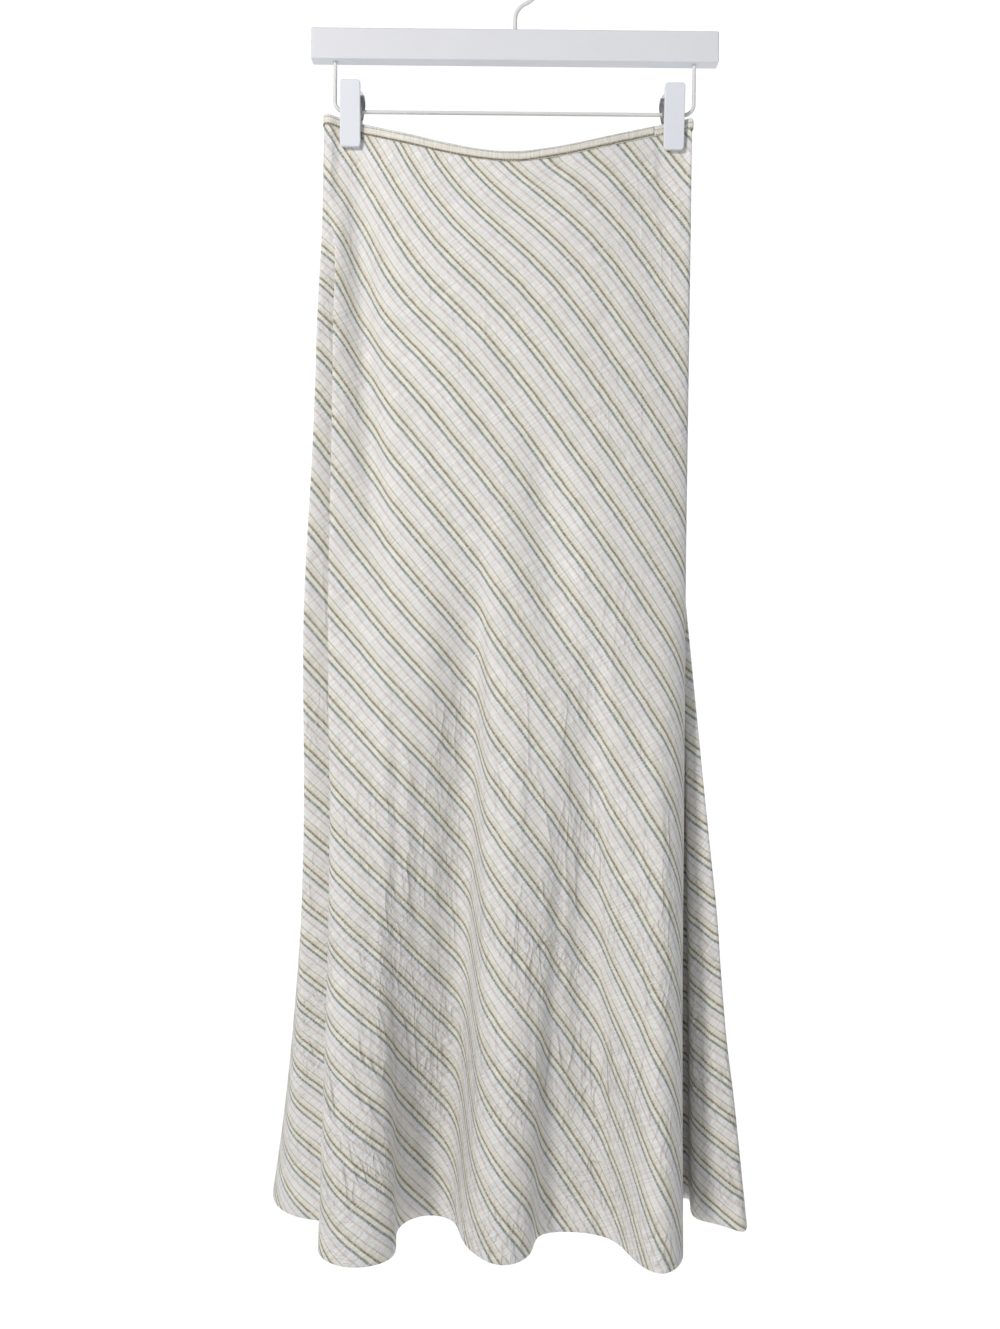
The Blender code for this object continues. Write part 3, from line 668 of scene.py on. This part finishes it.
# ---- Hem and waist stitches ----
# Rows of cotton thread: pale on the inside of the hem, dark along both sides of the binding, where the
# thread is darker than real thread to paint the shade in the gap under the binding's edge.
# Each stitch is a small bead of thread that lies along its row, half sunk in the cloth.
STITCH_TREE = bpy.data.node_groups.new("stitch_row", "GeometryNodeTree")
for socket, direction, kind in (
    ("Geometry", "INPUT", "NodeSocketGeometry"),
    ("Pitch", "INPUT", "NodeSocketFloat"),
    ("Size", "INPUT", "NodeSocketVector"),
    ("Thread", "INPUT", "NodeSocketMaterial"),
    ("Geometry", "OUTPUT", "NodeSocketGeometry"),
):
    STITCH_TREE.interface.new_socket(socket, in_out=direction, socket_type=kind)
stitches = Tree(STITCH_TREE)
row_in = stitches.add("NodeGroupInput").outputs
path = stitches.add("GeometryNodeMeshToCurve", {0: row_in["Geometry"]}).outputs[0]
spaced = stitches.add(
    "GeometryNodeResampleCurve", {"Curve": path, "Length": row_in["Pitch"]}, mode="LENGTH"
).outputs[0]
tangent = stitches.add("GeometryNodeInputTangent").outputs[0]
turn = stitches.add("FunctionNodeAlignRotationToVector", {"Vector": tangent}, axis="X").outputs[0]
bead = stitches.add("GeometryNodeMeshUVSphere", {"Segments": 8, "Rings": 6, "Radius": 0.5}).outputs[0]
placed = stitches.add(
    "GeometryNodeInstanceOnPoints",
    {"Points": spaced, "Instance": bead, "Rotation": turn, "Scale": row_in["Size"]},
).outputs[0]
real = stitches.add("GeometryNodeRealizeInstances", {"Geometry": placed}).outputs[0]
sewn = stitches.add("GeometryNodeSetMaterial", {"Geometry": real, "Material": row_in["Thread"]})
row_out = stitches.add("NodeGroupOutput")
STITCH_TREE.links.new(sewn.outputs[0], row_out.inputs["Geometry"])


def finished(item):
    """Turns an object with modifiers, or a curve, into a plain mesh object of the same name."""
    name = item.name
    whole_scene = bpy.context.evaluated_depsgraph_get()
    mesh = bpy.data.meshes.new_from_object(item.evaluated_get(whole_scene))
    bpy.data.objects.remove(item)
    mesh.name = name
    made = bpy.data.objects.new(name, mesh)
    bpy.context.scene.collection.objects.link(made)
    return made


def stitch_row(name, route, closed, pitch, length, thread_size, thread):
    """One row of stitches along a route, as a mesh."""
    count = len(route)
    edges = [(i, i + 1) for i in range(count - 1)] + ([(count - 1, 0)] if closed else [])
    mesh = bpy.data.meshes.new(name)
    mesh.from_pydata(np.asarray(route).tolist(), edges, [])
    row = bpy.data.objects.new(name, mesh)
    bpy.context.scene.collection.objects.link(row)
    sewing = row.modifiers.new("stitches", "NODES")
    sewing.node_group = STITCH_TREE
    sockets = {
        socket.name: socket.identifier
        for socket in STITCH_TREE.interface.items_tree
        if socket.in_out == "INPUT"
    }
    sewing[sockets["Pitch"]] = pitch
    sewing[sockets["Size"]] = (length, thread_size, thread_size)
    sewing[sockets["Thread"]] = thread
    made = finished(row)
    made.data.shade_smooth()
    return made


def thread_material(name, colour):
    """Twisted cotton thread: matt, with slanting ridges."""
    material = bpy.data.materials.new(name)
    material.use_nodes = True
    shader = material.node_tree.nodes["Principled BSDF"]
    tree = Tree(material.node_tree)
    place = tree.add("ShaderNodeTexCoord").outputs["Object"]
    twist = tree.add(
        "ShaderNodeTexWave",
        {"Vector": place, "Scale": 900.0, "Distortion": 1.0},
        bands_direction="DIAGONAL",
    ).outputs[1]
    bump = tree.add("ShaderNodeBump", {"Strength": 0.3, "Distance": 0.05 * MM, "Height": twist})
    tree.tree.links.new(bump.outputs[0], shader.inputs["Normal"])
    shader.inputs["Base Color"].default_value = (*colour, 1.0)
    shader.inputs["Roughness"].default_value = 0.75
    return material


HEM_PITCH, HEM_STITCH, HEM_THREAD = 6.0 * MM, 1.8 * MM, 0.35 * MM
hem_thread = thread_material("pale_thread", (0.50, 0.49, 0.42))
for name, (panel, whole, cut, area) in hems.items():
    inside = whole[-1] - surface_normals(whole[:-HEM_ROWS - 2])[-HEM_ROWS - 1] * CLOTH / 2
    row = stitch_row(
        f"{name}_hem_stitches", inside[1:-1], False, HEM_PITCH, HEM_STITCH, HEM_THREAD, hem_thread
    )
    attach(row, "root")

# ---- Waist binding ----
# A straight strip of the same cloth, folded over the raw waist edge all round and stitched along
# its lower edge. Its ends meet just inside the right clip, where it is a little thicker.
BINDING_CLOTH = 0.55 * MM
BINDING_PROFILE = (  # from the strip's outer edge over the top to its inner edge: mm out, mm up
    (0.80, 0.0), (0.74, 1.1), (0.86, 2.2), (0.94, 3.6), (0.96, 5.2), (0.90, 6.8), (0.68, 8.0),
    (0.28, 8.5), (-0.28, 8.5), (-0.68, 8.0), (-0.86, 6.6), (-0.88, 4.6), (-0.82, 2.4), (-0.74, 1.1),
    (-0.78, 0.0),
)
# The phase lays a dark olive stripe along the binding's lower edge, where it also stands as painted
# shade under that edge.
BINDING_PHASE, BINDING_DRIFT = 0.215, -3.9  # share of the repeat at its lower edge, mm per metre
JOIN_X, JOIN_LUMP, JOIN_REACH = 121 * MM, 0.35 * MM, 1.3 * MM
WAVER_SEED, WAVER_STEP, WAVER_SHARE = 12, 0.02, 0.4
STITCH_OUT, STITCH_UP, STITCH_PROUD = 0.74 * MM, 0.9 * MM, 0.04 * MM
STITCH_PITCH, STITCH_LENGTH, STITCH_THREAD = 2.5 * MM, 1.9 * MM, 0.58 * MM

waist = skirt_ring(0.0, STEPS)
on_front = np.arange(len(waist)) < seam * STEPS
start = int(np.argmin(np.abs(waist[:, 0] - JOIN_X) + ~on_front))
waist = np.roll(waist, -start, axis=0)
waist = np.vstack((waist, waist[:1]))
step = np.linalg.norm(np.diff(waist, axis=0), axis=1)
run = np.concatenate(([0.0], np.cumsum(step)))
heading = np.gradient(np.vstack((waist[-2], waist, waist[1])), axis=0)[1:-1, :2]
outward = np.column_stack((heading[:, 1], -heading[:, 0], np.zeros(len(heading))))
outward /= np.linalg.norm(outward, axis=1, keepdims=True)
from_join = np.minimum(run, run[-1] - run)
lump = 1.0 + JOIN_LUMP / MM * np.exp(-((from_join / JOIN_REACH) ** 2))
rng = np.random.default_rng(WAVER_SEED)
waver = np.cumsum(rng.normal(0.0, WAVER_STEP, len(waist)))
waver -= np.linspace(0.0, waver[-1], len(waist))
strip, strip_cut, travelled = [], [], 0.0
last_out, last_up = BINDING_PROFILE[0]
for out, up in BINDING_PROFILE:
    travelled += math.hypot(out - last_out, up - last_up)
    last_out, last_up = out, up
    height = np.array((0.0, 0.0, up * MM + SEAM_GAP))
    strip.append(waist + outward * (out * MM * lump)[:, None] + height)
    drift = BINDING_DRIFT * run + WAVER_SHARE * waver
    strip_cut.append(run + 1.0j * (travelled * MM + drift * MM))
strip, strip_cut = np.array(strip)[::-1], np.array(strip_cut)[::-1]
binding_cloth = striped_cotton("striped_cotton_binding", 0.0, BINDING_PHASE)
binding = cloth_mesh("waist_binding_cloth", strip, strip_cut, BINDING_CLOTH, binding_cloth)
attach(binding, "root")
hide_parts("waist_binding")

# Dark thread, made darker than the real thread: it also paints the shadow in the gap under the
# binding's lower edge.
waist_thread_and_shade = thread_material("dark_thread_painted_shade", (0.075, 0.060, 0.045))
for side, facing in (("outer", 1), ("inner", -1)):
    reach = facing * (STITCH_OUT + BINDING_CLOTH / 2 + STITCH_PROUD)
    route = waist[:-1] + outward[:-1] * reach + np.array((0.0, 0.0, STITCH_UP + SEAM_GAP))
    row = stitch_row(
        f"waist_{side}_stitches", route, True, STITCH_PITCH, STITCH_LENGTH, STITCH_THREAD, waist_thread_and_shade
    )
    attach(row, "root")

# ---- Hanger bar ----
# A flat wooden bar with eased edges, painted white, drilled for the hook and for the wire's ends.
BAR_SIZE = (350 * MM, 12 * MM, 27 * MM)
BAR_TOP, BAR_EDGE = -63 * MM, 1.4 * MM
SOCKET_DEPTH, SOCKET_GAP = 14 * MM, 0.25 * MM
HOOK_WIRE, DROP_WIRE, DROP_X = 3.4 * MM, 3.2 * MM, 154.6 * MM


def smooth_white(name, colour, roughness, grain, depth):
    """A painted or moulded white surface: a faint unevenness, and dull and shiny places."""
    material = bpy.data.materials.new(name)
    material.use_nodes = True
    tree = Tree(material.node_tree)
    shader = material.node_tree.nodes["Principled BSDF"]
    place = tree.add("ShaderNodeTexCoord").outputs["Object"]
    scaled = tree.add("ShaderNodeMapping", {"Vector": place, "Scale": grain}).outputs[0]
    texture = tree.add("ShaderNodeTexNoise", {"Vector": scaled, "Scale": 60.0, "Detail": 5.0})
    texture = texture.outputs[0]
    broad = tree.add("ShaderNodeTexNoise", {"Vector": place, "Scale": 22.0, "Detail": 3.0})
    broad = broad.outputs[0]
    dull = tree.sum("MULTIPLY_ADD", broad, 0.25, roughness - 0.12)
    bump = tree.add("ShaderNodeBump", {"Strength": 0.5, "Distance": depth, "Height": texture})
    darker = tuple(0.93 * part for part in colour)
    tint = tree.blend(broad, (*colour, 1.0), (*darker, 1.0))
    tree.tree.links.new(tint, shader.inputs["Base Color"])
    tree.tree.links.new(dull, shader.inputs["Roughness"])
    tree.tree.links.new(bump.outputs[0], shader.inputs["Normal"])
    shader.inputs["Specular IOR Level"].default_value = 0.4
    return material


def block(name, size, centre, corner, corner_steps, edge, edge_steps):
    """A block whose corners, seen from the front, and then whose edges are rounded."""
    shape = bmesh.new()
    bmesh.ops.create_cube(shape, size=1.0)
    bmesh.ops.scale(shape, vec=size, verts=shape.verts)
    if corner:
        across = [e for e in shape.edges if abs(e.verts[0].co.y - e.verts[1].co.y) > size[1] / 2]
        bmesh.ops.bevel(
            shape, geom=across, offset=corner, segments=corner_steps, profile=0.5, affect="EDGES"
        )
    sharp = [e for e in shape.edges if e.calc_face_angle(0.0) > math.radians(40)]
    bmesh.ops.bevel(shape, geom=sharp, offset=edge, segments=edge_steps, profile=0.5, affect="EDGES")
    bmesh.ops.translate(shape, vec=centre, verts=shape.verts)
    mesh = bpy.data.meshes.new(name)
    shape.to_mesh(mesh)
    shape.free()
    mesh.shade_smooth()
    item = bpy.data.objects.new(name, mesh)
    bpy.context.scene.collection.objects.link(item)
    return item


bar_bottom = BAR_TOP - BAR_SIZE[2]
bar = block("bar_painted", BAR_SIZE, (0, 0, BAR_TOP - BAR_SIZE[2] / 2), 0, 0, BAR_EDGE, 4)
cutters = []
for x, z, wire_size in (
    (0, BAR_TOP, HOOK_WIRE),
    (-DROP_X, bar_bottom, DROP_WIRE),
    (DROP_X, bar_bottom, DROP_WIRE),
):
    bpy.ops.mesh.primitive_cylinder_add(
        vertices=32, radius=wire_size / 2 + SOCKET_GAP, depth=2 * SOCKET_DEPTH, location=(x, 0, z)
    )
    cutters.append(bpy.context.object)
    hole = bar.modifiers.new("socket", "BOOLEAN")
    hole.object = cutters[-1]
bar = finished(bar)
for cutter in cutters:
    bpy.data.objects.remove(cutter)
bar.data.materials.clear()
white_paint = smooth_white("white_paint", (0.70, 0.71, 0.765), 0.42, (0.25, 1.0, 1.0), 0.12 * MM)
bar.data.materials.append(white_paint)
bar.modifiers.new("shading", "WEIGHTED_NORMAL")
bar = finished(bar)
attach(bar, "root")
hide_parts("hanger_bar")

# ---- Hook and drop wire ----
# White-coated steel wire. The hook's stem leans into its round top, and one wire drops from the
# bar's left end, runs along under it through both clips, and goes up into its right end.
HOOK_STEM, HOOK_NECK_RADIUS, HOOK_RADIUS = 11 * MM, 15 * MM, 21 * MM
HOOK_TIP = math.radians(190)
CROSSBAR_Z, DROP_BEND = -133 * MM, 9 * MM
SOCKET_END = 0.3 * MM  # from a wire's end to the bottom of its hole
wire_coat = smooth_white("white_wire_coating", (0.72, 0.72, 0.71), 0.38, (1.0, 1.0, 1.0), 0.05 * MM)


def arc(centre, radius, start, end, steps):
    """Points along an arc that faces the front."""
    x, z = centre
    angles = np.linspace(start, end, steps)
    return [(x + radius * math.cos(a), 0.0, z + radius * math.sin(a)) for a in angles]


def round_wire(name, route, diameter, material):
    """A round wire with closed ends along a route, as a mesh."""
    curve = bpy.data.curves.new(name, "CURVE")
    curve.dimensions = "3D"
    curve.bevel_depth = diameter / 2
    curve.bevel_resolution = 6
    curve.use_fill_caps = True
    spline = curve.splines.new("POLY")
    spline.points.add(len(route) - 1)
    for point, place in zip(spline.points, route):
        point.co = (*place, 1.0)
    item = bpy.data.objects.new(name, curve)
    bpy.context.scene.collection.objects.link(item)
    made = finished(item)
    made.data.shade_smooth()
    made.data.materials.clear()
    made.data.materials.append(material)
    return made


neck = (HOOK_NECK_RADIUS, BAR_TOP + HOOK_STEM)
crown = (0.0, -HOOK_RADIUS + HOOK_WIRE / 2)
lean = math.atan2(crown[1] - neck[1], neck[0] - crown[0])
hook_route = [(0.0, 0.0, BAR_TOP - SOCKET_DEPTH + SOCKET_END), (0.0, 0.0, BAR_TOP)]
hook_route += arc(neck, HOOK_NECK_RADIUS, math.pi, math.pi - lean, 14)
hook_route += arc(crown, HOOK_RADIUS, -lean, HOOK_TIP, 90)[1:]
drop_top = bar_bottom + SOCKET_DEPTH - SOCKET_END
drop_level = CROSSBAR_Z + DROP_BEND
drop_inner = DROP_X - DROP_BEND
drop_route = [(-DROP_X, 0.0, drop_top), (-DROP_X, 0.0, bar_bottom)]
drop_route += arc((-drop_inner, drop_level), DROP_BEND, math.pi, 1.5 * math.pi, 24)
drop_route += arc((drop_inner, drop_level), DROP_BEND, 1.5 * math.pi, 2.0 * math.pi, 24)
drop_route += [(DROP_X, 0.0, bar_bottom), (DROP_X, 0.0, drop_top)]
for name, node, route, diameter in (
    ("hook_wire", "hanger_hook", hook_route, HOOK_WIRE),
    ("drop_wire", "hanger_drop_wire", drop_route, DROP_WIRE),
):
    wire = round_wire(name, route, diameter, wire_coat)
    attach(wire, "root")
    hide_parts(node)

# ---- Clips ----
# Each clip is two white moulded plates that pinch the waist at their lower ends. They hang on the
# drop wire, and a bent steel leaf over it pushes their tops apart.
PLATE_SIZE = (17.5 * MM, 4 * MM, 55 * MM)
PLATE_CORNER, PLATE_EDGE = 3 * MM, 0.8 * MM
PLATE_BOTTOM, PLATE_GRIP = -165 * MM, 2.9 * MM
PLATE_SPLAY = math.radians(6)
LEAF_STEEL, LEAF_GAP, LEAF_SHIFT = 0.8 * MM, 0.4 * MM, 2.2 * MM
LEAF_WIDTH, LEAF_FOOT_WIDTH = 18 * MM, 14.5 * MM
LEAF_FOOT_Z, LEAF_SHOULDER_Z, LEAF_TOP_Z = -138 * MM, -125.5 * MM, -119.6 * MM
plate_white = smooth_white("white_moulded_clip", (0.72, 0.74, 0.815), 0.36, (1, 1, 1), 0.04 * MM)
steel = bpy.data.materials.new("spring_steel")
steel.use_nodes = True
steel_tree = Tree(steel.node_tree)
steel_place = steel_tree.add("ShaderNodeTexCoord").outputs["Object"]
scratches = steel_tree.add(
    "ShaderNodeTexNoise", {"Vector": steel_place, "Scale": 400.0, "Detail": 4.0}
).outputs[0]
steel_shader = steel.node_tree.nodes["Principled BSDF"]
dulled = steel_tree.sum("MULTIPLY_ADD", scratches, 0.3, 0.22)
steel.node_tree.links.new(dulled, steel_shader.inputs["Roughness"])
steel_shader.inputs["Base Color"].default_value = (0.36, 0.35, 0.35, 1.0)
steel_shader.inputs["Metallic"].default_value = 1.0

for hand, clip_x in CLIP_X.items():
    for side, face in ((-1, "front"), (1, "back")):
        lift = (0.0, side * PLATE_SIZE[1] / 2, PLATE_SIZE[2] / 2)
        plate = block(f"clip_{hand}_{face}_plate", PLATE_SIZE, lift, PLATE_CORNER, 8, PLATE_EDGE, 3)
        plate.data.materials.append(plate_white)
        plate.location = (clip_x, side * PLATE_GRIP, PLATE_BOTTOM)
        plate.rotation_euler = (-side * PLATE_SPLAY, 0.0, 0.0)
        bpy.context.view_layer.update()
        plate.data.transform(plate.matrix_world)
        plate.matrix_world.identity()
        plate.modifiers.new("shading", "WEIGHTED_NORMAL")
        plate = finished(plate)
        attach(plate, "root")
        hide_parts(f"clip_{hand}_{face}")
    middle = clip_x - math.copysign(LEAF_SHIFT, clip_x)
    stand_off = PLATE_GRIP - LEAF_GAP - LEAF_STEEL / 2
    foot_y = stand_off + (LEAF_FOOT_Z - PLATE_BOTTOM) * math.tan(PLATE_SPLAY)
    shoulder_y = stand_off + (LEAF_SHOULDER_Z - PLATE_BOTTOM) * math.tan(PLATE_SPLAY)
    profile = [(foot_y, LEAF_FOOT_Z, LEAF_FOOT_WIDTH)]
    for angle in np.linspace(0.0, math.pi, 25):
        rise = (LEAF_TOP_Z - LEAF_SHOULDER_Z) * math.sin(angle)
        profile.append((shoulder_y * math.cos(angle), LEAF_SHOULDER_Z + rise, LEAF_WIDTH))
    profile.append((-foot_y, LEAF_FOOT_Z, LEAF_FOOT_WIDTH))
    bent = np.array([[(middle + s * w / 2, y, z) for s in (-1, 0, 1)] for y, z, w in profile])
    leaf_cut = bent[..., 0] + 1.0j * bent[..., 2]
    leaf = cloth_mesh(f"clip_{hand}_leaf", bent, leaf_cut, LEAF_STEEL, steel)
    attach(leaf, "root")
    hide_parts(f"clip_{hand}_spring")

# ---- Floor ----
# A plain white floor, well below the hem. It is lit from within away from the middle, so that it
# runs into the white surroundings without an edge, and stays dim under the skirt's open hem.
FLOOR_Z, FLOOR_HALF = -1.9, 6.0
FLOOR_DIM_TO, FLOOR_BRIGHT_FROM = 0.5, 1.3
FLOOR_DIM, FLOOR_BRIGHT = 0.02, 0.64

floor_mesh = bpy.data.meshes.new("floor")
floor_shape = bmesh.new()
bmesh.ops.create_grid(floor_shape, x_segments=1, y_segments=1, size=FLOOR_HALF)
floor_shape.to_mesh(floor_mesh)
floor_shape.free()
floor = bpy.data.objects.new("floor", floor_mesh)
floor.location = (0.0, 0.0, FLOOR_Z)
bpy.context.scene.collection.objects.link(floor)
white = bpy.data.materials.new("white_floor")
white.use_nodes = True
floor_tree = Tree(white.node_tree)
floor_place = floor_tree.add("ShaderNodeTexCoord").outputs["Object"]
away = floor_tree.add("ShaderNodeVectorMath", {0: floor_place}, operation="LENGTH").outputs["Value"]
glow = floor_tree.add(
    "ShaderNodeMapRange",
    {0: away, 1: FLOOR_DIM_TO, 2: FLOOR_BRIGHT_FROM, 3: FLOOR_DIM, 4: FLOOR_BRIGHT},
    interpolation_type="SMOOTHSTEP",
)
floor_shader = white.node_tree.nodes["Principled BSDF"]
floor_shader.inputs["Base Color"].default_value = (0.80, 0.80, 0.80, 1.0)
floor_shader.inputs["Emission Color"].default_value = (1, 1, 1, 1)
white.node_tree.links.new(glow.outputs[0], floor_shader.inputs["Emission Strength"])
floor_mesh.materials.append(white)

# ---- Light and surroundings ----
# A white studio, bright behind the skirt and dimmer in front of it, so that folds which turn away
# are shaded. One soft, slightly warm lamp stands in front, to the left and above the hanger.
STUDIO_COLOUR = (0.96, 0.98, 1.0, 1.0)
STUDIO_DIM_TO, STUDIO_BRIGHT_FROM = 0.30, 0.78
STUDIO_DIM, STUDIO_BRIGHT = 0.28, 1.08
LAMP_PLACE, LAMP_TARGET = (-1.25, -2.1, 0.6), (0.0, 0.0, -0.5)
LAMP_SIZE, LAMP_WATTS, LAMP_COLOUR = 0.4, 43.0, (1.0, 0.97, 0.91)

studio = bpy.data.worlds.new("studio")
bpy.context.scene.world = studio
studio.use_nodes = True
studio_tree = Tree(studio.node_tree)
toward = studio_tree.add("ShaderNodeTexCoord").outputs["Generated"]
behind = studio_tree.add("ShaderNodeSeparateXYZ", {0: toward}).outputs[1]
brightness = studio_tree.add(
    "ShaderNodeMapRange",
    {0: behind, 1: STUDIO_DIM_TO, 2: STUDIO_BRIGHT_FROM, 3: STUDIO_DIM, 4: STUDIO_BRIGHT},
    interpolation_type="SMOOTHSTEP",
)
backdrop = studio.node_tree.nodes["Background"]
backdrop.inputs["Color"].default_value = STUDIO_COLOUR
studio.node_tree.links.new(brightness.outputs[0], backdrop.inputs["Strength"])
lamp_data = bpy.data.lights.new("key", "AREA")
lamp_data.shape = "RECTANGLE"
lamp_data.size = LAMP_SIZE
lamp_data.size_y = LAMP_SIZE
lamp_data.energy = LAMP_WATTS
lamp_data.color = LAMP_COLOUR
lamp = bpy.data.objects.new("key", lamp_data)
lamp.location = LAMP_PLACE
lamp_aim = Vector(LAMP_TARGET) - Vector(LAMP_PLACE)
lamp.rotation_euler = lamp_aim.to_track_quat("-Z", "Y").to_euler()
bpy.context.scene.collection.objects.link(lamp)
bpy.context.scene.view_settings.view_transform = "Standard"
